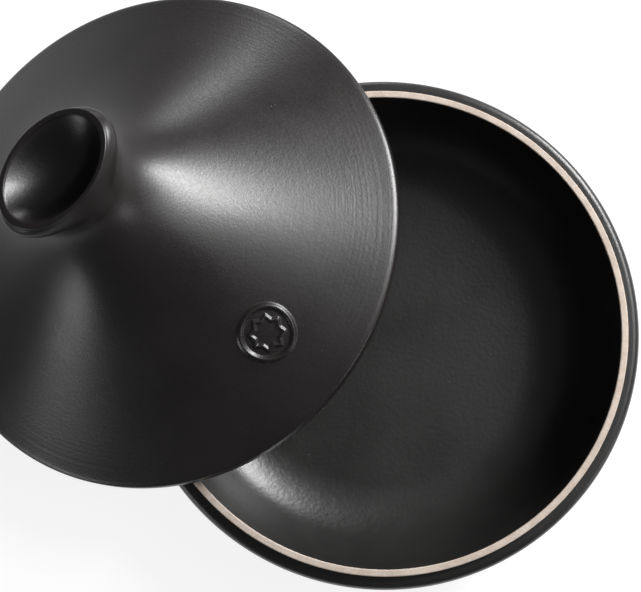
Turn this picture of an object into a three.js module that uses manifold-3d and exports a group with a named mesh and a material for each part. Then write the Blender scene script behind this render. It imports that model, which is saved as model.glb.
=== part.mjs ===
// A ceramic tagine: a round shallow dish, and its tall conical lid taken off and leaned on the dish's lip.
// Millimetres, +Z up. The origin is the middle of the dish's foot, on the table.
import * as THREE from "three";
import { mergeVertices } from "three/addons/utils/BufferGeometryUtils.js";
import Module from "manifold-3d";

// Dish
const DISH_RADIUS = 160; // at the widest part of the wall
const DISH_HEIGHT = 76; // to the top of the lip
const FOOT_RADIUS = 96;
const FLOOR_THICKNESS = 10;
const FLOOR_RADIUS = 96; // the flat part of the inside floor
const FLOOR_SWEEP = 34; // reach of the curve that turns the floor up into the wall
const LIP_WIDTH = 4;
const LIP_RISE = 7; // above the ledge
const LIP_EDGE = 0.8; // rounding of the lip's two edges
const LEDGE_WIDTH = 4.2; // the shelf outside the lip, which carries the lid when the pot is shut
const SHOULDER_WIDTH = 5.5; // from the ledge's outer edge to the widest part of the wall
const SHOULDER_DROP = 11; // from the ledge down to the widest part of the wall

// Lid
const LID_HEIGHT = 141.3; // from the mouth to the crest of the knob
const LID_CLEARANCE = 1.5; // between the rim's inside and the dish's lip
const RIM_WALL = 9.5;
const RIM_HEIGHT = 6; // the upright edge below the cone
const RIM_INSIDE = 4.4; // the upright inside of the rim, below the hollow
const RIM_EDGE = 1.5; // rounding of the rim's two lower edges
const RIM_SHOULDER = 3.5; // rounding between the upright edge and the cone
const LID_WALL = 7;
const HOLLOW_CROWN = 6; // height of the rounded top of the hollow
const CONE_ANGLE = THREE.MathUtils.degToRad(27); // slope above the rim
const CONE_STRAIGHT = 60; // pull of the curve along that slope
const NECK_RADIUS = 30.5;
const NECK_SWEEP = 36; // height over which the cone turns upright into the neck

// Knob: a hollow oval cup, longer across the lid than from front to back
const KNOB_HEIGHT = 20.3; // from the neck to the crest
const KNOB_LENGTH = 73.8; // across the crest
const KNOB_DEPTH = 55.6; // across the crest, front to back
const KNOB_BULGE = 4.2; // how far the two ends stand out beyond the crest
const KNOB_ROLL = 7; // from the crest down to the bulge
const KNOB_EDGE = 1.2; // rounding of the crest's outer edge
const CUP_LIP = 3.5; // from the crest in to the cup's edge
const CUP_LIP_DROP = 0.8;
const CUP_DEPTH = 17;
const CUP_FLOOR = 9.5; // clay between the cup and the hollow below it

// Medallion: a raised ring with an eight-pointed star, on the front of the cone
const MEDALLION_UP_SLOPE = 48.4; // from the cone's lower end to the medallion's middle
const MEDALLION_RADIUS = 15.9; // middle of the ring
const MEDALLION_RING = 1.9; // radius of the ring's round section
const STAR_RADIUS = 11.1;
const STAR_BAND = 2.4;
const STAR_RELIEF = 1.1;
const RELIEF_ROOT = 1.5; // how deep the star is rooted in the wall

// The lid's place: its low edge on the table, its raised side over the dish
const LEAN_HEADING = THREE.MathUtils.degToRad(-23.3); // the way the raised side points
const LEAN_OFFSET = 157.3; // from the dish's axis to the middle of the lid's mouth, seen from above
const LEAN_CLEARANCE = 0.3; // between the lid's rim and the lip that it leans on
const FRONT_TURN = THREE.MathUtils.degToRad(-16.5); // from the raised side round to the medallion

// Fineness of the surfaces
const SEGMENTS = 60;
const RING_SEGMENTS = 40;
const RING_SIDES = 8;
const LEAN_SAMPLES = 720;
const LEAN_ROUNDS = 40;

// Sizes that follow from those above
const lipOuter = DISH_RADIUS - SHOULDER_WIDTH - LEDGE_WIDTH;
const lipInner = lipOuter - LIP_WIDTH;
const ledgeOuter = DISH_RADIUS - SHOULDER_WIDTH;
const ledgeHeight = DISH_HEIGHT - LIP_RISE;
const widestHeight = ledgeHeight - SHOULDER_DROP;
const rimInner = lipOuter + LID_CLEARANCE;
const lidRadius = rimInner + RIM_WALL;
const neckHeight = LID_HEIGHT - KNOB_HEIGHT;
const bulgeHeight = LID_HEIGHT - KNOB_ROLL;
const crestRadius = KNOB_LENGTH / 2;
const bulgeRadius = crestRadius + KNOB_BULGE;
const cupRadius = crestRadius - CUP_LIP;
const cupFloorHeight = LID_HEIGHT - CUP_DEPTH;
const hollowTop = cupFloorHeight - CUP_FLOOR;

const wasm = await Module();
wasm.setup();

const glaze = new THREE.MeshStandardMaterial({ color: 0x1f1d1c, roughness: 0.42, metalness: 0 });
const bareClay = new THREE.MeshStandardMaterial({ color: 0xcfbcaa, roughness: 0.9, metalness: 0 });

const at = (radius, height) => new THREE.Vector2(radius, height);
const line = (from, to) => [new THREE.LineCurve(from, to), 1];
const bend = (from, corner, to, steps) => [new THREE.QuadraticBezierCurve(from, corner, to), steps];
const sweep = (from, leave, arrive, to, steps) => [
  new THREE.CubicBezierCurve(from, leave, arrive, to),
  steps,
];

// The points along a chain of curves, each point once.
function trace(curves) {
  const points = curves.flatMap(([curve, steps]) => curve.getPoints(steps));
  return points.filter((p, i) => i === 0 || p.distanceTo(points[i - 1]) > 1e-6);
}

// A solid turned about Z from an outline of radii and heights. The shares, one for each point of the
// outline, say how much of its width along X each ring keeps.
function turned(outline, shares) {
  const geometry = new THREE.LatheGeometry(outline, SEGMENTS).rotateX(Math.PI / 2);
  const { position } = geometry.attributes;
  for (let i = 0; i < position.count; i += 1) {
    position.setX(i, position.getX(i) * shares[i % outline.length]);
  }
  geometry.deleteAttribute("normal");
  geometry.deleteAttribute("uv");
  return mergeVertices(geometry);
}

function solidOf(geometry) {
  const bare = geometry.clone();
  bare.deleteAttribute("normal");
  bare.deleteAttribute("uv");
  const merged = mergeVertices(bare);
  return new wasm.Manifold(
    new wasm.Mesh({
      numProp: 3,
      vertProperties: merged.attributes.position.array,
      triVerts: new Uint32Array(merged.index.array),
    }),
  );
}

function geometryOf(solid) {
  const { vertProperties, triVerts } = solid.getMesh();
  return new THREE.BufferGeometry()
    .setAttribute("position", new THREE.BufferAttribute(vertProperties, 3))
    .setIndex(new THREE.BufferAttribute(triVerts, 1));
}

function named(name, geometry, material) {
  geometry.computeVertexNormals();
  const mesh = new THREE.Mesh(geometry, material);
  mesh.name = name;
  return mesh;
}

// The dish's rim, from the widest part of the wall over the ledge and the lip to the lip's inside.
const dishRim = trace([
  bend(at(DISH_RADIUS, widestHeight), at(DISH_RADIUS, ledgeHeight), at(ledgeOuter, ledgeHeight), 4),
  line(at(ledgeOuter, ledgeHeight), at(lipOuter, ledgeHeight)),
  line(at(lipOuter, ledgeHeight), at(lipOuter, DISH_HEIGHT - LIP_EDGE)),
  bend(
    at(lipOuter, DISH_HEIGHT - LIP_EDGE),
    at(lipOuter, DISH_HEIGHT),
    at(lipOuter - LIP_EDGE, DISH_HEIGHT),
    2,
  ),
  line(at(lipOuter - LIP_EDGE, DISH_HEIGHT), at(lipInner + LIP_EDGE, DISH_HEIGHT)),
  bend(
    at(lipInner + LIP_EDGE, DISH_HEIGHT),
    at(lipInner, DISH_HEIGHT),
    at(lipInner, DISH_HEIGHT - LIP_EDGE),
    2,
  ),
]);

function dish() {
  const foot = at(FOOT_RADIUS, 0);
  const widest = at(DISH_RADIUS, widestHeight);
  const lipFoot = at(lipInner, DISH_HEIGHT - LIP_EDGE);
  const floorEdge = at(FLOOR_RADIUS, FLOOR_THICKNESS);
  const outside = sweep(
    foot,
    at((FOOT_RADIUS + DISH_RADIUS) / 2, 0),
    at(DISH_RADIUS, widestHeight / 2),
    widest,
    8,
  );
  const inside = sweep(
    lipFoot,
    at(lipInner, DISH_HEIGHT / 2),
    at(FLOOR_RADIUS + FLOOR_SWEEP, FLOOR_THICKNESS),
    floorEdge,
    10,
  );
  const outline = [
    at(0, 0),
    ...trace([outside]),
    ...dishRim.slice(1, -1),
    ...trace([inside]),
    at(0, FLOOR_THICKNESS),
  ];
  const geometry = turned(
    outline,
    outline.map(() => 1),
  );
  return named("dish", bareAbove(geometry, DISH_HEIGHT - LIP_EDGE), [glaze, bareClay]);
}

// Sorts the faces into two finishes: bare clay above a height, glaze below it.
function bareAbove(geometry, height) {
  const { index, attributes } = geometry;
  const glazed = [];
  const bare = [];
  for (let i = 0; i < index.count; i += 3) {
    const corners = [index.getX(i), index.getX(i + 1), index.getX(i + 2)];
    const middle = corners.reduce((sum, c) => sum + attributes.position.getZ(c), 0) / corners.length;
    (middle > height ? bare : glazed).push(...corners);
  }
  geometry.setIndex([...glazed, ...bare]);
  geometry.addGroup(0, glazed.length, 0);
  geometry.addGroup(glazed.length, bare.length, 1);
  return geometry;
}

// The lid's section is drawn along the knob's long way, with heights counted from the mouth.
const coneFoot = at(lidRadius - RIM_SHOULDER, RIM_HEIGHT + RIM_SHOULDER);
const upSlope = at(-Math.cos(CONE_ANGLE), Math.sin(CONE_ANGLE));
const coneBend = coneFoot.clone().addScaledVector(upSlope, CONE_STRAIGHT);
const neck = at(NECK_RADIUS, neckHeight);
const crest = at(crestRadius, LID_HEIGHT);
const cone = new THREE.CubicBezierCurve(
  coneFoot,
  coneBend,
  at(NECK_RADIUS, neckHeight - NECK_SWEEP),
  neck,
);

// The lid's rim, from the inside of the mouth round its lower edge to the foot of the cone.
const lidRim = trace([
  line(at(rimInner, RIM_INSIDE), at(rimInner, RIM_EDGE)),
  bend(at(rimInner, RIM_EDGE), at(rimInner, 0), at(rimInner + RIM_EDGE, 0), 2),
  line(at(rimInner + RIM_EDGE, 0), at(lidRadius - RIM_EDGE, 0)),
  bend(at(lidRadius - RIM_EDGE, 0), at(lidRadius, 0), at(lidRadius, RIM_EDGE), 2),
  line(at(lidRadius, RIM_EDGE), at(lidRadius, RIM_HEIGHT)),
  bend(at(lidRadius, RIM_HEIGHT), at(lidRadius, RIM_HEIGHT + RIM_SHOULDER / 2), coneFoot, 3),
]);

// The hollow, from its rounded top down the inside of the wall to the inside of the rim.
function hollowCurves() {
  const steps = 14;
  const wall = [];
  for (let i = 0; i <= steps; i += 1) {
    const point = cone.getPointAt(1 - i / steps);
    const tangent = cone.getTangentAt(1 - i / steps);
    wall.push(at(point.x - tangent.y * LID_WALL, point.y + tangent.x * LID_WALL));
  }
  const side = wall.filter((point) => point.y < hollowTop - HOLLOW_CROWN && point.x < rimInner - RIM_EDGE);
  side.push(lidRim[0]);
  return [
    bend(at(0, hollowTop), at(side[0].x, hollowTop), side[0], 3),
    ...side.slice(1).map((point, i) => line(side[i], point)),
  ];
}

function lidSection() {
  const bulge = at(bulgeRadius, bulgeHeight);
  const brow = at(crestRadius + KNOB_EDGE, LID_HEIGHT - KNOB_EDGE);
  const cupEdge = at(cupRadius, LID_HEIGHT - CUP_LIP_DROP);
  const flareHeight = (neckHeight + bulgeHeight) / 2;
  const flare = sweep(neck, at(NECK_RADIUS, flareHeight), at(bulgeRadius, flareHeight), bulge, 5);
  return trace([
    ...hollowCurves(),
    ...lidRim.slice(1).map((point, i) => line(lidRim[i], point)),
    [cone, 10],
    flare,
    bend(bulge, at(bulgeRadius, (bulgeHeight + brow.y) / 2), brow, 3),
    bend(brow, at(crestRadius + KNOB_EDGE / 2, LID_HEIGHT), crest, 2),
    bend(crest, at(cupRadius, LID_HEIGHT), cupEdge, 2),
    bend(cupEdge, at(cupRadius / 2, cupFloorHeight), at(0, cupFloorHeight), 6),
  ]);
}

// The share of its depth that each ring of the section keeps. Outside, the knob's front and back go up
// from the round neck almost straight, while its two ends stand out; the cup is oval like the crest.
function knobShares(section) {
  const crestIndex = section.findIndex((point) => point.distanceTo(crest) < 1e-6);
  return section.map((point, i) => {
    if (i >= crestIndex) return KNOB_DEPTH / KNOB_LENGTH;
    if (point.y <= neckHeight) return 1;
    const up = (point.y - neckHeight) / KNOB_HEIGHT;
    return THREE.MathUtils.lerp(NECK_RADIUS, KNOB_DEPTH / 2, up) / point.x;
  });
}

// Bends a flat shape (x across, y up the slope, z out of the wall) onto the front of the cone.
function ontoCone(geometry) {
  const { position } = geometry.attributes;
  const slope = cone.getLength();
  for (let i = 0; i < position.count; i += 1) {
    const along = (MEDALLION_UP_SLOPE + position.getY(i)) / slope;
    const foot = cone.getPointAt(along);
    const tangent = cone.getTangentAt(along);
    const radius = foot.x + tangent.y * position.getZ(i);
    const turn = position.getX(i) / foot.x;
    const height = foot.y - tangent.x * position.getZ(i);
    position.setXYZ(i, radius * Math.cos(turn), radius * Math.sin(turn), height);
  }
  return geometry;
}

// The outline of two crossed squares, eight points in all.
function starPath(path, radius) {
  const points = 8;
  const notch = (radius * Math.cos(Math.PI / 4)) / Math.cos(Math.PI / points);
  const corners = Array.from({ length: 2 * points }, (_, i) => {
    const turn = (i * Math.PI) / points;
    const reach = i % 2 ? notch : radius;
    return at(reach * Math.cos(turn), reach * Math.sin(turn));
  });
  return path.setFromPoints(corners);
}

function lid() {
  const ring = new THREE.TorusGeometry(MEDALLION_RADIUS, MEDALLION_RING, RING_SIDES, RING_SEGMENTS);
  const starShape = starPath(new THREE.Shape(), STAR_RADIUS);
  starShape.holes.push(starPath(new THREE.Path(), STAR_RADIUS - STAR_BAND));
  const star = new THREE.ExtrudeGeometry(starShape, {
    depth: RELIEF_ROOT + STAR_RELIEF,
    bevelEnabled: false,
  }).translate(0, 0, -RELIEF_ROOT);
  const section = lidSection();
  const wall = solidOf(turned(section, knobShares(section)));
  const whole = wall.add(solidOf(ontoCone(ring))).add(solidOf(ontoCone(star)));
  return named("lid", geometryOf(whole), glaze);
}

// The height of the dish's rim at a distance from its axis.
function dishRimHeight(radius) {
  let height = -Infinity;
  for (let i = 1; i < dishRim.length; i += 1) {
    const [outer, inner] = [dishRim[i - 1], dishRim[i]];
    if (radius > outer.x || radius < inner.x) continue;
    const share = outer.x === inner.x ? 1 : (outer.x - radius) / (outer.x - inner.x);
    height = Math.max(height, outer.y + share * (inner.y - outer.y));
  }
  return height;
}

// How high the middle of the mouth is when the tilted rim's lowest point touches the table.
function mouthHeight(tilt) {
  return Math.max(...lidRim.map((p) => p.x * Math.sin(tilt) - p.y * Math.cos(tilt)));
}

// The least height of the tilted rim above the dish's rim.
function leanGap(tilt) {
  let least = Infinity;
  for (const point of lidRim) {
    for (let i = 0; i < LEAN_SAMPLES; i += 1) {
      const turn = (Math.PI * i) / LEAN_SAMPLES;
      const uphill = point.x * Math.cos(turn);
      const x = uphill * Math.cos(tilt) - point.y * Math.sin(tilt) - LEAN_OFFSET;
      const y = point.x * Math.sin(turn);
      const z = mouthHeight(tilt) + uphill * Math.sin(tilt) + point.y * Math.cos(tilt);
      least = Math.min(least, z - dishRimHeight(Math.hypot(x, y)));
    }
  }
  return least;
}

// The tilt at which the rim lies just clear of the lip, found by halving.
function leanTilt() {
  let low = 0;
  let high = Math.PI / 3;
  for (let round = 0; round < LEAN_ROUNDS; round += 1) {
    const middle = (low + high) / 2;
    if (leanGap(middle) < LEAN_CLEARANCE) low = middle;
    else high = middle;
  }
  return high;
}

function leaningLid() {
  const tilt = leanTilt();
  const piece = lid();
  piece.rotation.z = FRONT_TURN;
  const leaning = new THREE.Group().add(piece);
  leaning.rotation.y = -tilt;
  leaning.position.set(-LEAN_OFFSET, 0, mouthHeight(tilt));
  const heading = new THREE.Group().add(leaning);
  heading.rotation.z = LEAN_HEADING;
  return heading;
}

const tagine = new THREE.Group();
tagine.add(dish(), leaningLid());

export default tagine;
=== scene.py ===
"""Black-glazed tagine: a shallow cooking dish, and its conical lid leaned on the dish's lip."""

import math

import bpy
import numpy as np
from mathutils import Matrix, Vector


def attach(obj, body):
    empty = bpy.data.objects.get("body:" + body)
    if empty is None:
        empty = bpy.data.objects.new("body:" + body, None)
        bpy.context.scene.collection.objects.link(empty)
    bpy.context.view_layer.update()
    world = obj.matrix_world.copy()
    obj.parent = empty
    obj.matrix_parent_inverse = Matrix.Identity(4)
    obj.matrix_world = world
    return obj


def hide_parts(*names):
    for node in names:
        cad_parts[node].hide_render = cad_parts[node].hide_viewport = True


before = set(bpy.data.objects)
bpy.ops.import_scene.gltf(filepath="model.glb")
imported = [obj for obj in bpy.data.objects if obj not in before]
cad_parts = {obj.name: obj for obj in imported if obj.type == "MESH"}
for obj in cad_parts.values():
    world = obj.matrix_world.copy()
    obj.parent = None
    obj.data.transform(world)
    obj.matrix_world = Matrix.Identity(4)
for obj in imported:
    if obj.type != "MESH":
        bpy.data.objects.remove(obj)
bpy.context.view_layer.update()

# The dish, in metres.
DISH_RADIUS = 0.160
DISH_HEIGHT = 0.076
FOOT_RADIUS = 0.096
FLOOR_THICKNESS = 0.010
FLOOR_RADIUS = 0.096
FLOOR_SWEEP = 0.034
LIP_WIDTH = 0.004
LIP_RISE = 0.007
LIP_EDGE = 0.0008
LEDGE_WIDTH = 0.0042
SHOULDER_WIDTH = 0.0055
SHOULDER_DROP = 0.011
LIP_OUTER = DISH_RADIUS - SHOULDER_WIDTH - LEDGE_WIDTH
LIP_INNER = LIP_OUTER - LIP_WIDTH
LEDGE_OUTER = DISH_RADIUS - SHOULDER_WIDTH
LEDGE_HEIGHT = DISH_HEIGHT - LIP_RISE
WIDEST_HEIGHT = LEDGE_HEIGHT - SHOULDER_DROP
LEDGE_FILLET = 0.0011

# The bare clay on the lip: how far down it reaches, how far below its top the dish's own lip ends,
# how far it stands out from the lip's sides, and how uneven its lower edge is below an even top.
BAND_DEPTH = 0.0012
BAND_SEAT = 0.0003
BAND_SKIN = 0.00012
BAND_WOBBLE = 0.00022
BAND_EVEN = 0.0002

# The bare clay under the lid's rim: how far it lies in from the rim's sides, how deep it is sunk,
# how far it stands out below, the size of its two rounded edges, and how uneven it is.
RIM_BAND_INSET = 0.0009
RIM_BAND_SUNK = 0.0006
RIM_BAND_SKIN = 0.00010
RIM_BAND_EDGE = 0.0006
RIM_BAND_EDGE_HEIGHT = 0.0001
RIM_BAND_WOBBLE = 0.00018

# The lid.
LID_HEIGHT = 0.1413
RIM_INNER = 0.1518
RIM_HEIGHT = 0.006
RIM_INSIDE = 0.0044
RIM_EDGE = 0.0015
RIM_SHOULDER = 0.0035
LID_RADIUS = 0.1613
LID_WALL = 0.007
CONE_ANGLE = math.radians(27)
CONE_STRAIGHT = 0.060
NECK_RADIUS = 0.0305
NECK_SWEEP = 0.036
NECK_HEIGHT = 0.121
HOLLOW_TOP = 0.1148
HOLLOW_CROWN = 0.006

# The knob, a hollow oval cup.
KNOB_LENGTH = 0.0738
KNOB_DEPTH = 0.0556
KNOB_EDGE = 0.0012
BULGE_HEIGHT = 0.1343
BULGE_RADIUS = 0.0411
CREST_RADIUS = 0.0369
CUP_RADIUS = 0.0334
CUP_LIP_DROP = 0.0008
CUP_FLOOR_HEIGHT = 0.1243

# The medallion on the lid's front: a plain ring round an eight-pointed star.
MEDALLION_UP_SLOPE = 0.0484
MEDALLION_RADIUS = 0.0159
RING_HALF_WIDTH = 0.0024
RING_RELIEF = 0.0016
STAR_RADIUS = 0.0104
STAR_HALF_BAND = 0.0017
STAR_RELIEF = 0.0011

# How the lid leans on the dish, as solved in the part's source.
LEAN_HEADING = math.radians(-23.3)
LEAN_OFFSET = 0.1573
LEAN_TILT = math.acos(0.9499164365284832)
MOUTH_HEIGHT = 0.0499381426764435
FRONT_TURN = math.radians(-16.5)

# The camera, fitted to the outlines in the photograph.
FRAME_WIDTH_PX = 641
FOCAL_PX = 1350
CAMERA_PLACE = (-0.03024, -0.0654, 0.90721)
CAMERA_TILT = math.radians(5.9121)
CAMERA_SWING = math.radians(0.6286)
SENSOR_WIDTH_MM = 36
CAMERA_REACH = 100

# How close the lid's points lie, up the slope and round it, away from the medallion and on it.
CONE_STEP = 0.0023
CONE_FINE_STEP = 0.00042
MEDALLION_REACH = 0.0205
TURN_STEP = math.radians(1.0)
TURN_FINE_STEP = math.radians(0.21)
MEDALLION_TURN = math.radians(10.2)

# How many points lie round the other pieces, and along the dish's inside.
DISH_COLUMNS = 360
WALL_POINTS = 70
FLOOR_POINTS = 40
LIP_BAND_COLUMNS = 540
RIM_BAND_COLUMNS = 360

# Unevenness of the thrown clay: its height, and the stretches over which it dies out.
LID_WAVER = 0.00011
LID_WAVER_FOOT = 0.02
LID_WAVER_NECK = 0.03
DISH_WAVER = 0.00010
DISH_WAVER_MIDDLE = (0.03, 0.06)
DISH_WAVER_TOP = (0.004, 0.020)

# Glaze colours, where it lies thick and thin, and a painted shade in the knob's cup.
# Lid and dish wear one glaze; its colour is painted darker on the lid as painted shade and lighter on the
# dish as painted light.
LID_THICK = (0.0090, 0.0072, 0.0070)
LID_THIN = (0.0130, 0.0107, 0.0104)
DISH_THICK = (0.0142, 0.0138, 0.0134)
DISH_THIN = (0.0200, 0.0194, 0.0188)
# Painted shade for the knob's cup: a darker glaze colour where light hardly reaches.
CUP_PAINTED_SHADE = (0.0022, 0.0020, 0.0019)
SPECK_GREY = (0.05, 0.05, 0.05)

# Gloss of the glaze, and how much rougher its clouds and flecks are.
GLAZE_IOR = 1.60
GLAZE_ROUGHNESS = 0.31
CLOUD_ROUGHER = 0.035
FLECK_ROUGHER = 0.04

# Surface of the glaze: size and height of grain and pebble, and heights of specks and turning marks.
LID_GRAIN = (0.0014, 0.00006)
LID_PEBBLE = (0.005, 0.00003)
LID_SPECK = 0.00006
LID_MARK = 0.00004
DISH_GRAIN = (0.0026, 0.00011)
DISH_PEBBLE = (0.006, 0.00007)
DISH_SPECK = 0.00010
DISH_MARK = 0.00002
GLAZE_CLOUD_SIZE = 0.045
FLECKS_PER_METRE = 620.0
CLOUD_RANGE = (0.3, 0.7)
SPECK_CELLS_PER_METRE = 110.0
SPECK_PICK = (0.62, 0.75)
SPECK_DOT = (0.02, 0.055)
MARKS_PER_METRE = 480.0
MARKS_FADE = (0.08, 0.15)

# The painted shade in the cup fades over these shares of the knob's oval, and over these depths below its
# floor.
CUP_SHADE_FADE = (0.56, 0.81)
CUP_SHADE_FADE_BELOW = (0.002, 0.0005)

# Bare clay.
CLAY_PINK = (0.51, 0.415, 0.346)
CLAY_PALE = (0.67, 0.578, 0.500)
CLAY_ROUGHNESS = 0.8
CLAY_FLECK_ROUGHER = 0.1
CLAY_GRAIN = (0.0006, 0.00006)
CLAY_PEBBLE = (0.003, 0.00006)
CLAY_CLOUD_SIZE = 0.011
CLAY_CLOUD_SHARE = 0.6
CLAY_FLECK_SHARE = 0.4

# The white floor: its colour, how much brighter the camera sees it, and how much brighter the glaze
# mirrors it, in full out to one distance from a middle and not at all beyond another.
STAGE_WHITE = (0.26, 0.26, 0.26)
STAGE_SEEN = 0.86
STAGE_MIRRORED = 0.70
MIRRORED_MIDDLE = (-0.03, 0.03, 0.0)
MIRRORED_FULL = 0.29
MIRRORED_END = 0.37
STAGE_LEVEL = -0.0003
STAGE_FIRST_RING = 0.3
STAGE_REACH = 40.0
STAGE_RINGS = 12
STAGE_COLUMNS = 96

# The surround: its light at the horizon and overhead, between these heights of a unit direction,
# how bright the camera sees it, and how bright the glaze mirrors it at least.
SKY_LOW = 0.02
SKY_HIGH = 0.25
SKY_HORIZON = 0.12
SKY_OVERHEAD = 0.09
SKY_SEEN = 0.86
SKY_MIRRORED = 0.11

# Soft boxes: name, azimuth and elevation in degrees, width and length, roll in degrees, and radiance.
LAMP_WATTS = math.pi
LAMPS_AROUND = (-0.06, 0.03, 0.08)
LAMP_DISTANCE = 1.8
LAMPS = (
    ("key", 39, 31, 0.44, 1.36, 26, 28),
    ("key_side", 9, 46, 0.9, 1.0, 0, 2.0),
    ("overhead", 40, 80, 0.6, 0.6, 0, 0.16),
    ("back_strip", 90, 4, 0.22, 0.18, 0, 23),
    ("right_fill", -28, 10, 0.6, 0.4, 0, 3),
    ("left_fill", -142, 4, 0.70, 0.36, 0, 4),
)


def stretch(start, end, count):
    """Points along a straight line, without its end."""
    step = np.linspace(0, 1, count, endpoint=False)[:, None]
    return np.array(start) * (1 - step) + np.array(end) * step


def bend(start, pull, end, count):
    """Points along a curve with one pull, without its end."""
    step = np.linspace(0, 1, count, endpoint=False)[:, None]
    rest = 1 - step
    return rest**2 * np.array(start) + 2 * rest * step * np.array(pull) + step**2 * np.array(end)


def sweep(start, pull_out, pull_in, end, count):
    """Points along a curve with two pulls, without its end."""
    step = np.linspace(0, 1, count, endpoint=False)[:, None]
    rest = 1 - step
    first = rest**3 * np.array(start) + 3 * rest**2 * step * np.array(pull_out)
    return first + 3 * rest * step**2 * np.array(pull_in) + step**3 * np.array(end)


def ease(value, low, high):
    """0 below low, 1 above high, and a smooth rise between."""
    share = np.clip((value - low) / (high - low), 0, 1)
    return share * share * (3 - 2 * share)


def finer_near(low, high, coarse, fine, centre, reach):
    """Places from low to high, coarse apart, and fine apart within reach of centre."""
    probe = np.linspace(low, high, 6001)
    step = fine + (coarse - fine) * ease(np.abs(probe - centre), reach, 2.2 * reach)
    count = np.concatenate([[0], np.cumsum(np.diff(probe) / step[1:])])
    total = int(round(count[-1]))
    return np.interp(np.linspace(0, count[-1], total + 1), count, probe)


def outward(outline):
    """Unit normals of an outline whose solid lies to its left, as (across, up)."""
    along = np.gradient(outline, axis=0)
    along /= np.linalg.norm(along, axis=1)[:, None]
    return np.stack([along[:, 1], -along[:, 0]], 1)


def mesh_object(name, points, faces):
    """A smooth-shaded object from a list of points and a list of faces."""
    mesh = bpy.data.meshes.new(name)
    mesh.from_pydata(points.tolist(), [], faces)
    mesh.validate()
    mesh.shade_smooth()
    piece = bpy.data.objects.new(name, mesh)
    bpy.context.scene.collection.objects.link(piece)
    return piece


def ring_faces(first_row, row_count, columns):
    """Quads between rows of points that go all the way round."""
    faces = []
    for row in range(row_count - 1):
        low = first_row + row * columns
        high = low + columns
        for column in range(columns):
            following = (column + 1) % columns
            faces.append((low + column, low + following, high + following, high + column))
    return faces


def turned(name, rows, start_pole, end_pole):
    """A closed solid from rows of points round an axis, with a single point at each end."""
    row_count, columns, _ = rows.shape
    points = np.concatenate([rows.reshape(-1, 3), [start_pole], [end_pole]])
    faces = ring_faces(0, row_count, columns)
    start = row_count * columns
    end = start + 1
    last = (row_count - 1) * columns
    for column in range(columns):
        following = (column + 1) % columns
        faces.append((start, following, column))
        faces.append((last + column, last + following, end))
    return mesh_object(name, points, faces)


def turned_ring(name, rows):
    """A closed ring from rows of points round an axis, the last row joined to the first."""
    row_count, columns, _ = rows.shape
    faces = ring_faces(0, row_count, columns)
    last = (row_count - 1) * columns
    for column in range(columns):
        following = (column + 1) % columns
        faces.append((last + column, last + following, following, column))
    return mesh_object(name, rows.reshape(-1, 3), faces)


def hand_waver(turn, along, size):
    """A slow unevenness over a thrown surface, at most size high."""
    slow = np.sin(2 * turn + 9 * along) + 0.7 * np.sin(3 * turn - 31 * along + 1.3)
    quick = 0.45 * np.sin(7 * turn + 57 * along + 0.4) + 0.35 * np.sin(11 * turn - 83 * along + 2.1)
    return size * (slow + quick) / 2.5


# The slope of the lid's cone and the curve that it follows up to the neck.
up_slope = np.array([-math.cos(CONE_ANGLE), math.sin(CONE_ANGLE)])
cone_foot = np.array([LID_RADIUS - RIM_SHOULDER, RIM_HEIGHT + RIM_SHOULDER])
cone_bend = cone_foot + CONE_STRAIGHT * up_slope
neck_start = (NECK_RADIUS, NECK_HEIGHT)
neck_pull = (NECK_RADIUS, NECK_HEIGHT - NECK_SWEEP)

# Where the leaning lid stands.
lid_pose = (
    Matrix.Rotation(LEAN_HEADING, 4, "Z")
    @ Matrix.Translation((-LEAN_OFFSET, 0, MOUTH_HEIGHT))
    @ Matrix.Rotation(-LEAN_TILT, 4, "Y")
    @ Matrix.Rotation(FRONT_TURN, 4, "Z")
)


def cone_rows():
    """Outline points up the lid's cone, close together at the medallion, and their way up the slope."""
    dense = sweep(cone_foot, cone_bend, neck_pull, neck_start, 4000)
    way = np.concatenate([[0], np.cumsum(np.linalg.norm(np.diff(dense, axis=0), axis=1))])
    places = finer_near(0, way[-1], CONE_STEP, CONE_FINE_STEP, MEDALLION_UP_SLOPE, MEDALLION_REACH)
    points = np.stack([np.interp(places, way, dense[:, 0]), np.interp(places, way, dense[:, 1])], 1)
    return points[:-1], places[:-1]


def hollow_rows():
    """Outline points from the hollow's rounded top down the inside of the wall to the rim's inside."""
    outside = sweep(cone_foot, cone_bend, neck_pull, neck_start, 90)
    inside = (outside - LID_WALL * outward(outside))[::-1]
    kept = (inside[:, 1] < HOLLOW_TOP - HOLLOW_CROWN) & (inside[:, 0] < RIM_INNER - RIM_EDGE)
    wall = inside[kept]
    crown = bend((0, HOLLOW_TOP), (wall[0][0], HOLLOW_TOP), wall[0], 14)[1:]
    return np.concatenate([crown, wall])


def star_distance(across, up):
    """Distance to the outline of an eight-pointed star of two crossed squares."""
    notch = STAR_RADIUS * math.cos(math.radians(45)) / math.cos(math.radians(22.5))
    corners = []
    for corner in range(16):
        reach = STAR_RADIUS if corner % 2 == 0 else notch
        turn = math.radians(22.5 * corner)
        corners.append((reach * math.cos(turn), reach * math.sin(turn)))
    nearest = np.full(across.shape, 1.0)
    for corner in range(16):
        x0, y0 = corners[corner]
        x1, y1 = corners[(corner + 1) % 16]
        edge_x = x1 - x0
        edge_y = y1 - y0
        share = ((across - x0) * edge_x + (up - y0) * edge_y) / (edge_x**2 + edge_y**2)
        share = np.clip(share, 0, 1)
        gap = np.hypot(across - x0 - share * edge_x, up - y0 - share * edge_y)
        nearest = np.minimum(nearest, gap)
    return nearest


def ridge(distance, half_width, relief):
    """Height of a rounded ridge whose foot runs out softly under the glaze."""
    share = np.clip(distance / half_width, 0, 1)
    return relief * (0.5 + 0.5 * np.cos(math.pi * share)) ** 0.8


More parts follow.
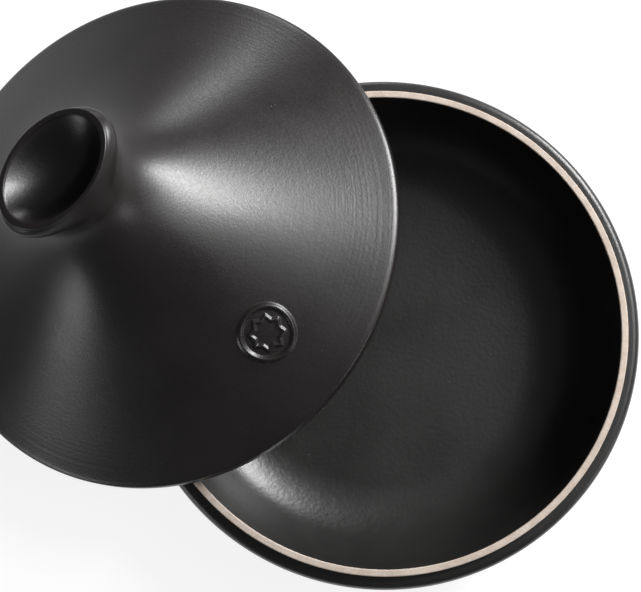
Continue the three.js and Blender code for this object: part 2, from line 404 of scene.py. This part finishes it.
def make_lid():
    """The lid as it leans, from the hollow's top down inside, round the rim and up to the cup's floor."""
    crest = (CREST_RADIUS, LID_HEIGHT)
    brow = (CREST_RADIUS + KNOB_EDGE, LID_HEIGHT - KNOB_EDGE)
    cup_edge = (CUP_RADIUS, LID_HEIGHT - CUP_LIP_DROP)
    cone, slope_places = cone_rows()
    before = [
        hollow_rows(),
        stretch((RIM_INNER, RIM_INSIDE), (RIM_INNER, RIM_EDGE), 4),
        bend((RIM_INNER, RIM_EDGE), (RIM_INNER, 0), (RIM_INNER + RIM_EDGE, 0), 6),
        stretch((RIM_INNER + RIM_EDGE, 0), (LID_RADIUS - RIM_EDGE, 0), 4),
        bend((LID_RADIUS - RIM_EDGE, 0), (LID_RADIUS, 0), (LID_RADIUS, RIM_EDGE), 6),
        stretch((LID_RADIUS, RIM_EDGE), (LID_RADIUS, RIM_HEIGHT), 6),
        bend((LID_RADIUS, RIM_HEIGHT), (LID_RADIUS, RIM_HEIGHT + RIM_SHOULDER / 2), cone_foot, 10),
    ]
    after = [
        sweep(
            neck_start,
            (NECK_RADIUS, (NECK_HEIGHT + BULGE_HEIGHT) / 2),
            (BULGE_RADIUS, (NECK_HEIGHT + BULGE_HEIGHT) / 2),
            (BULGE_RADIUS, BULGE_HEIGHT),
            40,
        ),
        bend((BULGE_RADIUS, BULGE_HEIGHT), (BULGE_RADIUS, (BULGE_HEIGHT + brow[1]) / 2), brow, 14),
        bend(brow, (CREST_RADIUS + KNOB_EDGE / 2, LID_HEIGHT), crest, 8),
    ]
    cup = [
        bend(crest, (CUP_RADIUS, LID_HEIGHT), cup_edge, 10),
        bend(cup_edge, (CUP_RADIUS / 2, CUP_FLOOR_HEIGHT), (0, CUP_FLOOR_HEIGHT), 44),
    ]
    start = np.concatenate(before)
    knob = np.concatenate(after)
    cup = np.concatenate(cup)
    outline = np.concatenate([start, cone, knob, cup])
    normals = outward(outline)
    turns = finer_near(-math.pi, math.pi, TURN_STEP, TURN_FINE_STEP, 0, MEDALLION_TURN)[:-1]
    radius = outline[:, 0][:, None]
    height = outline[:, 1][:, None]
    turn = turns[None, :]

    relief = np.zeros((len(outline), len(turns)))
    first = len(start)
    last = first + len(cone)
    across = cone[:, 0][:, None] * turn
    up = slope_places[:, None] - MEDALLION_UP_SLOPE + 0 * turn
    ring = ridge(np.abs(np.hypot(across, up) - MEDALLION_RADIUS), RING_HALF_WIDTH, RING_RELIEF)
    star = ridge(star_distance(across, up), STAR_HALF_BAND, STAR_RELIEF)
    slope_end = slope_places[-1]
    clear_of_foot = ease(slope_places, 0, LID_WAVER_FOOT)
    clear_of_neck = ease(slope_places, slope_end, slope_end - LID_WAVER_NECK)
    clear_of_ends = clear_of_foot * clear_of_neck
    waver = hand_waver(turn, slope_places[:, None], LID_WAVER) * clear_of_ends[:, None]
    relief[first:last] = np.maximum(ring, star) + waver

    radius = radius + relief * normals[:, 0][:, None]
    height = height + relief * normals[:, 1][:, None]
    share = np.ones(len(outline))
    knob_up = (knob[:, 1] - NECK_HEIGHT) / (LID_HEIGHT - NECK_HEIGHT)
    share[last : last + len(knob)] = (NECK_RADIUS + (KNOB_DEPTH / 2 - NECK_RADIUS) * knob_up) / knob[:, 0]
    share[last + len(knob) :] = KNOB_DEPTH / KNOB_LENGTH
    rows = np.stack([radius * np.cos(turn) * share[:, None], radius * np.sin(turn), height + 0 * turn], 2)
    lid = turned("lid", rows, (0, 0, HOLLOW_TOP), (0, 0, CUP_FLOOR_HEIGHT))
    lid.data.transform(lid_pose)
    return lid


def make_dish():
    """The dish, from the middle of its foot, up outside, over the lip and down to its floor."""
    lip_seat = DISH_HEIGHT - BAND_SEAT
    lip_side = lip_seat - LIP_EDGE
    pieces = [
        stretch((0, 0), (FOOT_RADIUS, 0), 30)[1:],
        sweep(
            (FOOT_RADIUS, 0),
            ((FOOT_RADIUS + DISH_RADIUS) / 2, 0),
            (DISH_RADIUS, WIDEST_HEIGHT / 2),
            (DISH_RADIUS, WIDEST_HEIGHT),
            50,
        ),
        bend((DISH_RADIUS, WIDEST_HEIGHT), (DISH_RADIUS, LEDGE_HEIGHT), (LEDGE_OUTER, LEDGE_HEIGHT), 16),
        stretch((LEDGE_OUTER, LEDGE_HEIGHT), (LIP_OUTER + LEDGE_FILLET, LEDGE_HEIGHT), 6),
        bend(
            (LIP_OUTER + LEDGE_FILLET, LEDGE_HEIGHT),
            (LIP_OUTER, LEDGE_HEIGHT),
            (LIP_OUTER, LEDGE_HEIGHT + LEDGE_FILLET),
            8,
        ),
        stretch((LIP_OUTER, LEDGE_HEIGHT + LEDGE_FILLET), (LIP_OUTER, lip_side), 8),
        bend((LIP_OUTER, lip_side), (LIP_OUTER, lip_seat), (LIP_OUTER - LIP_EDGE, lip_seat), 8),
        stretch((LIP_OUTER - LIP_EDGE, lip_seat), (LIP_INNER + LIP_EDGE, lip_seat), 6),
        bend((LIP_INNER + LIP_EDGE, lip_seat), (LIP_INNER, lip_seat), (LIP_INNER, lip_side), 8),
        sweep(
            (LIP_INNER, lip_side),
            (LIP_INNER, DISH_HEIGHT / 2),
            (FLOOR_RADIUS + FLOOR_SWEEP, FLOOR_THICKNESS),
            (FLOOR_RADIUS, FLOOR_THICKNESS),
            WALL_POINTS,
        ),
        stretch((FLOOR_RADIUS, FLOOR_THICKNESS), (0, FLOOR_THICKNESS), FLOOR_POINTS),
    ]
    outline = np.concatenate(pieces)
    normals = outward(outline)
    turn = np.linspace(-math.pi, math.pi, DISH_COLUMNS, endpoint=False)[None, :]
    along = np.concatenate([[0], np.cumsum(np.linalg.norm(np.diff(outline, axis=0), axis=1))])[:, None]
    inside = np.arange(len(outline)) >= len(outline) - WALL_POINTS - FLOOR_POINTS + 2
    from_top = (DISH_HEIGHT - DISH_WAVER_TOP[0], DISH_HEIGHT - DISH_WAVER_TOP[1])
    waver = hand_waver(turn, along, DISH_WAVER) * inside[:, None]
    waver = waver * ease(outline[:, 0], *DISH_WAVER_MIDDLE)[:, None]
    waver = waver * ease(outline[:, 1], *from_top)[:, None]
    radius = outline[:, 0][:, None] + waver * normals[:, 0][:, None]
    height = outline[:, 1][:, None] + waver * normals[:, 1][:, None]
    rows = np.stack([radius * np.cos(turn), radius * np.sin(turn), height + 0 * turn], 2)
    return turned("dish", rows, (0, 0, 0), (0, 0, FLOOR_THICKNESS))


def make_lip_band():
    """The bare clay along the top of the lip, a thin ring that the glaze stops short of."""
    turn = np.linspace(-math.pi, math.pi, LIP_BAND_COLUMNS, endpoint=False)[None, :]
    skin = BAND_SKIN
    outer = LIP_OUTER + skin
    inner = LIP_INNER - skin
    edge = DISH_HEIGHT - LIP_EDGE
    foot = DISH_HEIGHT - BAND_DEPTH
    outline = np.concatenate(
        [
            stretch((outer - 2 * skin, foot), (outer, foot + skin), 2),
            stretch((outer, foot + skin), (outer, edge), 3),
            bend((outer, edge), (outer, DISH_HEIGHT), (outer - LIP_EDGE, DISH_HEIGHT), 8),
            stretch((outer - LIP_EDGE, DISH_HEIGHT), (inner + LIP_EDGE, DISH_HEIGHT), 10),
            bend((inner + LIP_EDGE, DISH_HEIGHT), (inner, DISH_HEIGHT), (inner, edge), 8),
            stretch((inner, edge), (inner, foot + skin), 3),
            stretch((inner, foot + skin), (inner + 2 * skin, foot), 2),
            stretch((inner + 2 * skin, foot), (outer - 2 * skin, foot), 6),
        ]
    )
    across = outline[:, 0][:, None] + 0 * turn
    height = outline[:, 1][:, None] + 0 * turn
    low = ease(height, DISH_HEIGHT - BAND_EVEN, foot)
    side = np.where(across > (LIP_OUTER + LIP_INNER) / 2, 1.0, -1.0)
    drift = np.sin(13 * turn + 1.1 * side) + 0.8 * np.sin(29 * turn - 0.7 * side)
    drift = drift + 0.6 * np.sin(71 * turn + side)
    height = height + low * BAND_WOBBLE * drift
    rows = np.stack([across * np.cos(turn), across * np.sin(turn), height], 2)
    return turned_ring("lip_band", rows)


def make_rim_band():
    """The bare clay under the lid's rim, on which the lid stands in the kiln."""
    turn = np.linspace(-math.pi, math.pi, RIM_BAND_COLUMNS, endpoint=False)[None, :]
    low = -RIM_BAND_SKIN
    side = RIM_BAND_EDGE_HEIGHT
    sunk = RIM_BAND_SUNK
    inner = RIM_INNER + RIM_BAND_INSET
    outer = LID_RADIUS - RIM_BAND_INSET
    inner_edge = inner + RIM_BAND_EDGE
    outer_edge = outer - RIM_BAND_EDGE
    outline = np.concatenate(
        [
            stretch((inner, sunk), (inner, side), 3),
            bend((inner, side), (inner + side, low), (inner_edge, low), 4),
            stretch((inner_edge, low), (outer_edge, low), 8),
            bend((outer_edge, low), (outer - side, low), (outer, side), 4),
            stretch((outer, side), (outer, sunk), 3),
            stretch((outer, sunk), (inner, sunk), 6),
        ]
    )
    middle = (inner + outer) / 2
    across = outline[:, 0][:, None] + 0 * turn
    side = np.where(across > middle, 1.0, -1.0)
    drift = np.sin(11 * turn + side) + 0.8 * np.sin(23 * turn - 0.6 * side) + 0.5 * np.sin(61 * turn + side)
    across = across + RIM_BAND_WOBBLE * drift * np.abs(across - middle) / (outer - inner)
    rows = np.stack([across * np.cos(turn), across * np.sin(turn), outline[:, 1][:, None] + 0 * turn], 2)
    band = turned_ring("lid_rim_band", rows)
    band.data.transform(lid_pose)
    return band


def new_group(name, inputs, outputs):
    """An empty shader node group with named sockets."""
    group = bpy.data.node_groups.new(name, "ShaderNodeTree")
    for socket, kind, value in inputs:
        made = group.interface.new_socket(socket, in_out="INPUT", socket_type=kind)
        if value is not None:
            made.default_value = value
    for socket, kind in outputs:
        group.interface.new_socket(socket, in_out="OUTPUT", socket_type=kind)
    entry = group.nodes.new("NodeGroupInput")
    leave = group.nodes.new("NodeGroupOutput")
    return group, entry, leave


def math_node(tree, operation, first, second=None, third=None):
    """A maths node whose inputs are sockets or numbers; gives its output."""
    node = tree.nodes.new("ShaderNodeMath")
    node.operation = operation
    for slot, value in enumerate((first, second, third)):
        if value is None:
            continue
        if isinstance(value, (int, float)):
            node.inputs[slot].default_value = value
        else:
            tree.links.new(value, node.inputs[slot])
    return node.outputs[0]


def noise_node(tree, place, scale, detail, roughness=0.5):
    """A noise texture at a place; scale is a socket or a number. Gives its grey output."""
    node = tree.nodes.new("ShaderNodeTexNoise")
    tree.links.new(place, node.inputs["Vector"])
    if isinstance(scale, (int, float)):
        node.inputs["Scale"].default_value = scale
    else:
        tree.links.new(scale, node.inputs["Scale"])
    node.inputs["Detail"].default_value = detail
    node.inputs["Roughness"].default_value = roughness
    return node.outputs["Fac"]


def range_node(tree, value, low, high, to_low, to_high):
    """A smooth remap of a value; gives its output."""
    node = tree.nodes.new("ShaderNodeMapRange")
    node.interpolation_type = "SMOOTHSTEP"
    tree.links.new(value, node.inputs["Value"])
    node.inputs["From Min"].default_value = low
    node.inputs["From Max"].default_value = high
    node.inputs["To Min"].default_value = to_low
    node.inputs["To Max"].default_value = to_high
    return node.outputs["Result"]


def orange_peel_group():
    """Fine dimples of a fired glaze, with scattered tiny specks; heights in metres."""
    inputs = [
        ("Place", "NodeSocketVector", None),
        ("Grain Size", "NodeSocketFloat", 0.002),
        ("Grain Height", "NodeSocketFloat", 0.00001),
        ("Pebble Size", "NodeSocketFloat", 0.004),
        ("Pebble Height", "NodeSocketFloat", 0.00001),
        ("Speck Height", "NodeSocketFloat", 0.00004),
    ]
    outputs = [("Height", "NodeSocketFloat"), ("Specks", "NodeSocketFloat")]
    group, entry, leave = new_group("orange_peel", inputs, outputs)
    place = entry.outputs["Place"]
    grain_scale = math_node(group, "DIVIDE", 1.0, entry.outputs["Grain Size"])
    grain = noise_node(group, place, grain_scale, 2.0)
    grain = math_node(group, "SUBTRACT", grain, 0.5)
    grain = math_node(group, "MULTIPLY", grain, entry.outputs["Grain Height"])
    pebble_scale = math_node(group, "DIVIDE", 1.0, entry.outputs["Pebble Size"])
    pebble = noise_node(group, place, pebble_scale, 1.0)
    pebble = math_node(group, "SUBTRACT", pebble, 0.5)
    pebble = math_node(group, "MULTIPLY", pebble, entry.outputs["Pebble Height"])

    cells = group.nodes.new("ShaderNodeTexVoronoi")
    cells.inputs["Scale"].default_value = SPECK_CELLS_PER_METRE
    group.links.new(place, cells.inputs["Vector"])
    picked = group.nodes.new("ShaderNodeSeparateColor")
    group.links.new(cells.outputs["Color"], picked.inputs["Color"])
    chosen = range_node(group, picked.outputs["Red"], *SPECK_PICK, 0.0, 1.0)
    dot = range_node(group, cells.outputs["Distance"], *SPECK_DOT, 1.0, 0.0)
    specks = math_node(group, "MULTIPLY", chosen, dot)
    speck = math_node(group, "MULTIPLY", specks, entry.outputs["Speck Height"])
    total = math_node(group, "ADD", math_node(group, "ADD", grain, pebble), speck)
    group.links.new(total, leave.inputs["Height"])
    group.links.new(specks, leave.inputs["Specks"])
    return group


def glaze_cloud_group():
    """Slow clouding of a glaze: where it lies thicker or thinner, from 0 to 1."""
    inputs = [("Place", "NodeSocketVector", None), ("Cloud Size", "NodeSocketFloat", 0.05)]
    outputs = [("Cloud", "NodeSocketFloat"), ("Fleck", "NodeSocketFloat")]
    group, entry, leave = new_group("glaze_cloud", inputs, outputs)
    place = entry.outputs["Place"]
    scale = math_node(group, "DIVIDE", 1.0, entry.outputs["Cloud Size"])
    cloud = noise_node(group, place, scale, 3.0)
    fleck = noise_node(group, place, FLECKS_PER_METRE, 2.0)
    group.links.new(range_node(group, cloud, *CLOUD_RANGE, 0.0, 1.0), leave.inputs["Cloud"])
    group.links.new(range_node(group, fleck, *CLOUD_RANGE, 0.0, 1.0), leave.inputs["Fleck"])
    return group


def turning_marks_group():
    """Faint rings left by the turning tool, towards the rim; heights in metres."""
    inputs = [("Place", "NodeSocketVector", None), ("Mark Height", "NodeSocketFloat", 0.00001)]
    group, entry, leave = new_group("turning_marks", inputs, [("Height", "NodeSocketFloat")])
    flat = group.nodes.new("ShaderNodeVectorMath")
    flat.operation = "MULTIPLY"
    flat.inputs[1].default_value = (1, 1, 0)
    group.links.new(entry.outputs["Place"], flat.inputs[0])
    length = group.nodes.new("ShaderNodeVectorMath")
    length.operation = "LENGTH"
    group.links.new(flat.outputs["Vector"], length.inputs[0])
    radius = length.outputs["Value"]
    lines = group.nodes.new("ShaderNodeTexNoise")
    lines.noise_dimensions = "1D"
    lines.inputs["Scale"].default_value = MARKS_PER_METRE
    lines.inputs["Detail"].default_value = 2.0
    group.links.new(radius, lines.inputs["W"])
    marks = math_node(group, "SUBTRACT", lines.outputs["Fac"], 0.5)
    marks = math_node(group, "MULTIPLY", marks, entry.outputs["Mark Height"])
    marks = math_node(group, "MULTIPLY", marks, range_node(group, radius, *MARKS_FADE, 0.0, 1.0))
    group.links.new(marks, leave.inputs["Height"])
    return group


def cup_shade_share(tree, place):
    """1 in the knob's cup, where shade is painted into the glaze's colour, and 0 elsewhere on the lid."""
    parts = tree.nodes.new("ShaderNodeSeparateXYZ")
    tree.links.new(place, parts.inputs["Vector"])
    across = math_node(tree, "POWER", math_node(tree, "DIVIDE", parts.outputs["X"], KNOB_DEPTH / 2), 2.0)
    along = math_node(tree, "POWER", math_node(tree, "DIVIDE", parts.outputs["Y"], KNOB_LENGTH / 2), 2.0)
    within = range_node(tree, math_node(tree, "ADD", across, along), *CUP_SHADE_FADE, 1.0, 0.0)
    low = CUP_FLOOR_HEIGHT - CUP_SHADE_FADE_BELOW[0]
    high = CUP_FLOOR_HEIGHT - CUP_SHADE_FADE_BELOW[1]
    above = range_node(tree, parts.outputs["Z"], low, high, 0.0, 1.0)
    return math_node(tree, "MULTIPLY", within, above)


def new_material(name):
    """A material with an empty Principled shader; gives material, tree and shader."""
    material = bpy.data.materials.new(name)
    material.use_nodes = True
    tree = material.node_tree
    return material, tree, tree.nodes["Principled BSDF"]


def own_place(tree, pose=None):
    """The surface point in the piece's own frame."""
    here = tree.nodes.new("ShaderNodeTexCoord").outputs["Object"]
    if pose is None:
        return here
    back = tree.nodes.new("ShaderNodeMapping")
    back.vector_type = "TEXTURE"
    back.inputs["Location"].default_value = pose.to_translation()
    back.inputs["Rotation"].default_value = pose.to_euler()
    tree.links.new(here, back.inputs["Vector"])
    return back.outputs["Vector"]


def mix_colours(tree, share, first, second):
    """A colour between two, each a plain colour or a socket, by a share; gives its output."""
    node = tree.nodes.new("ShaderNodeMix")
    node.data_type = "RGBA"
    for name, colour in (("A", first), ("B", second)):
        if isinstance(colour, tuple):
            node.inputs[name].default_value = (*colour, 1)
        else:
            tree.links.new(colour, node.inputs[name])
    tree.links.new(share, node.inputs["Factor"])
    return node.outputs["Result"]


def group_node(tree, group, place, values):
    """A node group at a place, with its named values set."""
    node = tree.nodes.new("ShaderNodeGroup")
    node.node_tree = group
    tree.links.new(place, node.inputs["Place"])
    for name, value in values.items():
        node.inputs[name].default_value = value
    return node


def peel_values(grain, pebble, speck):
    """Values of the orange-peel group, from the size and height of grain and pebble."""
    return {
        "Grain Size": grain[0],
        "Grain Height": grain[1],
        "Pebble Size": pebble[0],
        "Pebble Height": pebble[1],
        "Speck Height": speck,
    }


def set_bump(tree, shader, height):
    """Lets a height in metres bend a shader's normal."""
    bump = tree.nodes.new("ShaderNodeBump")
    bump.inputs["Strength"].default_value = 1.0
    bump.inputs["Distance"].default_value = 1.0
    tree.links.new(height, bump.inputs["Height"])
    tree.links.new(bump.outputs["Normal"], shader.inputs["Normal"])


def glaze_material(name, tones, pose, peel, mark_height):
    """Satin black glaze, with its own tones and sizes of dimple; a pose means that it is the lid's."""
    material, tree, shader = new_material(name)
    place = own_place(tree, pose)
    dimples = group_node(tree, peel_group, place, peel)
    clouds = group_node(tree, cloud_group, place, {"Cloud Size": GLAZE_CLOUD_SIZE})
    rings = group_node(tree, marks_group, place, {"Mark Height": mark_height})

    colour = mix_colours(tree, clouds.outputs["Cloud"], *tones)
    colour = mix_colours(tree, dimples.outputs["Specks"], colour, SPECK_GREY)
    if pose is not None:
        # Painted shade: the glaze's colour is darkened in the knob's cup, where light hardly reaches.
        colour = mix_colours(tree, cup_shade_share(tree, place), colour, CUP_PAINTED_SHADE)
    tree.links.new(colour, shader.inputs["Base Color"])
    patch = math_node(tree, "MULTIPLY_ADD", clouds.outputs["Cloud"], CLOUD_ROUGHER, GLAZE_ROUGHNESS)
    gloss = math_node(tree, "MULTIPLY_ADD", clouds.outputs["Fleck"], FLECK_ROUGHER, patch)
    tree.links.new(gloss, shader.inputs["Roughness"])
    shader.inputs["IOR"].default_value = GLAZE_IOR
    set_bump(tree, shader, math_node(tree, "ADD", rings.outputs["Height"], dimples.outputs["Height"]))
    return material


def clay_material():
    """Bare pale clay: matt, slightly pink, with fine grog."""
    material, tree, shader = new_material("bare_clay")
    place = own_place(tree)
    clouds = group_node(tree, cloud_group, place, {"Cloud Size": CLAY_CLOUD_SIZE})
    grog = group_node(tree, peel_group, place, peel_values(CLAY_GRAIN, CLAY_PEBBLE, 0.0))
    share = math_node(tree, "MULTIPLY", clouds.outputs["Cloud"], CLAY_CLOUD_SHARE)
    share = math_node(tree, "MULTIPLY_ADD", clouds.outputs["Fleck"], CLAY_FLECK_SHARE, share)
    colour = mix_colours(tree, share, CLAY_PINK, CLAY_PALE)
    tree.links.new(colour, shader.inputs["Base Color"])
    matt = math_node(tree, "MULTIPLY_ADD", clouds.outputs["Fleck"], CLAY_FLECK_ROUGHER, CLAY_ROUGHNESS)
    tree.links.new(matt, shader.inputs["Roughness"])
    set_bump(tree, shader, grog.outputs["Height"])
    return material


def seen_strength(tree, to_camera, in_mirrors):
    """How bright something is to the camera and in reflections, while it gives no light."""
    path = tree.nodes.new("ShaderNodeLightPath")
    glossy = path.outputs["Is Glossy Ray"]
    mirrored = math_node(tree, "MAXIMUM", glossy, path.outputs["Is Transmission Ray"])
    mirrored = math_node(tree, "MULTIPLY", mirrored, in_mirrors)
    seen = math_node(tree, "MULTIPLY", path.outputs["Is Camera Ray"], to_camera)
    return math_node(tree, "MAXIMUM", seen, mirrored)


def floor_material():
    """White floor that keeps the shadow; its reflection in the glaze fades with distance."""
    material = bpy.data.materials.new("white_floor")
    material.use_nodes = True
    tree = material.node_tree
    tree.nodes.remove(tree.nodes["Principled BSDF"])
    matt = tree.nodes.new("ShaderNodeBsdfDiffuse")
    matt.inputs["Color"].default_value = (*STAGE_WHITE, 1)
    glow = tree.nodes.new("ShaderNodeEmission")
    away = tree.nodes.new("ShaderNodeVectorMath")
    away.operation = "DISTANCE"
    tree.links.new(own_place(tree), away.inputs[0])
    away.inputs[1].default_value = MIRRORED_MIDDLE
    near = range_node(tree, away.outputs["Value"], MIRRORED_FULL, MIRRORED_END, STAGE_MIRRORED, 0.0)
    tree.links.new(seen_strength(tree, STAGE_SEEN, near), glow.inputs["Strength"])
    both = tree.nodes.new("ShaderNodeAddShader")
    tree.links.new(matt.outputs[0], both.inputs[0])
    tree.links.new(glow.outputs[0], both.inputs[1])
    tree.links.new(both.outputs[0], tree.nodes["Material Output"].inputs["Surface"])
    return material


def make_floor():
    """A wide round floor, a hair below the dish's foot."""
    turn = np.linspace(0, 2 * math.pi, STAGE_COLUMNS, endpoint=False)
    level = 0 * turn + STAGE_LEVEL
    rows = []
    for radius in np.geomspace(STAGE_FIRST_RING, STAGE_REACH, STAGE_RINGS):
        rows.append(np.stack([radius * np.cos(turn), radius * np.sin(turn), level], 1))
    points = np.concatenate([*rows, [(0, 0, STAGE_LEVEL)]])
    faces = [tuple(reversed(face)) for face in ring_faces(0, len(rows), STAGE_COLUMNS)]
    middle = len(points) - 1
    for column in range(STAGE_COLUMNS):
        faces.append((middle, column, (column + 1) % STAGE_COLUMNS))
    return mesh_object("floor", points, faces)


def lamp(name, azimuth, elevation, width, length, roll, radiance):
    """A soft box that faces the tagine; radiance is how bright its face looks."""
    light = bpy.data.lights.new(name, "AREA")
    light.shape = "RECTANGLE"
    light.size = width
    light.size_y = length
    light.energy = radiance * width * length * LAMP_WATTS
    source = bpy.data.objects.new(name, light)
    flat = math.cos(math.radians(elevation))
    way = Vector(
        (
            flat * math.cos(math.radians(azimuth)),
            flat * math.sin(math.radians(azimuth)),
            math.sin(math.radians(elevation)),
        )
    )
    turn = way.to_track_quat("Z", "Y").to_matrix().to_4x4()
    place = Matrix.Translation(Vector(LAMPS_AROUND) + LAMP_DISTANCE * way)
    source.matrix_world = place @ turn @ Matrix.Rotation(math.radians(roll), 4, "Z")
    source.visible_camera = False
    bpy.context.scene.collection.objects.link(source)


def make_world():
    """Studio surround: pale to the camera, dim as light and in the glaze."""
    world = bpy.data.worlds.new("studio")
    bpy.context.scene.world = world
    world.use_nodes = True
    tree = world.node_tree
    ground = tree.nodes["Background"]
    way = tree.nodes.new("ShaderNodeTexCoord")
    parts = tree.nodes.new("ShaderNodeSeparateXYZ")
    tree.links.new(way.outputs["Generated"], parts.inputs["Vector"])
    level = range_node(tree, parts.outputs["Z"], SKY_LOW, SKY_HIGH, SKY_HORIZON, SKY_OVERHEAD)
    ground.inputs["Color"].default_value = (1, 1, 1, 1)
    seen = seen_strength(tree, SKY_SEEN, SKY_MIRRORED)
    tree.links.new(math_node(tree, "MAXIMUM", seen, level), ground.inputs["Strength"])


lid = make_lid()
dish = make_dish()
lip_band = make_lip_band()
lid_rim_band = make_rim_band()
floor = make_floor()

peel_group = orange_peel_group()
cloud_group = glaze_cloud_group()
marks_group = turning_marks_group()
lid_peel = peel_values(LID_GRAIN, LID_PEBBLE, LID_SPECK)
dish_peel = peel_values(DISH_GRAIN, DISH_PEBBLE, DISH_SPECK)
lid_glaze = glaze_material("lid_glaze", (LID_THICK, LID_THIN), lid_pose, lid_peel, LID_MARK)
dish_glaze = glaze_material("dish_glaze", (DISH_THICK, DISH_THIN), None, dish_peel, DISH_MARK)
bare_clay = clay_material()
lid.data.materials.append(lid_glaze)
dish.data.materials.append(dish_glaze)
lip_band.data.materials.append(bare_clay)
lid_rim_band.data.materials.append(bare_clay)
floor.data.materials.append(floor_material())

make_world()
for lamp_values in LAMPS:
    lamp(*lamp_values)

camera_data = bpy.data.cameras.new("camera")
camera_data.sensor_width = SENSOR_WIDTH_MM
camera_data.lens = FOCAL_PX / FRAME_WIDTH_PX * SENSOR_WIDTH_MM
camera_data.clip_end = CAMERA_REACH
camera = bpy.data.objects.new("camera", camera_data)
camera.location = CAMERA_PLACE
camera.rotation_euler = (CAMERA_TILT, CAMERA_SWING, 0)
bpy.context.scene.collection.objects.link(camera)
bpy.context.scene.camera = camera
bpy.context.scene.view_settings.view_transform = "Standard"

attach(dish, "dish")
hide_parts("dish")
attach(lip_band, "dish")
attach(lid, "lid")
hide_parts("lid")
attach(lid_rim_band, "lid")

bpy.context.view_layer.update()
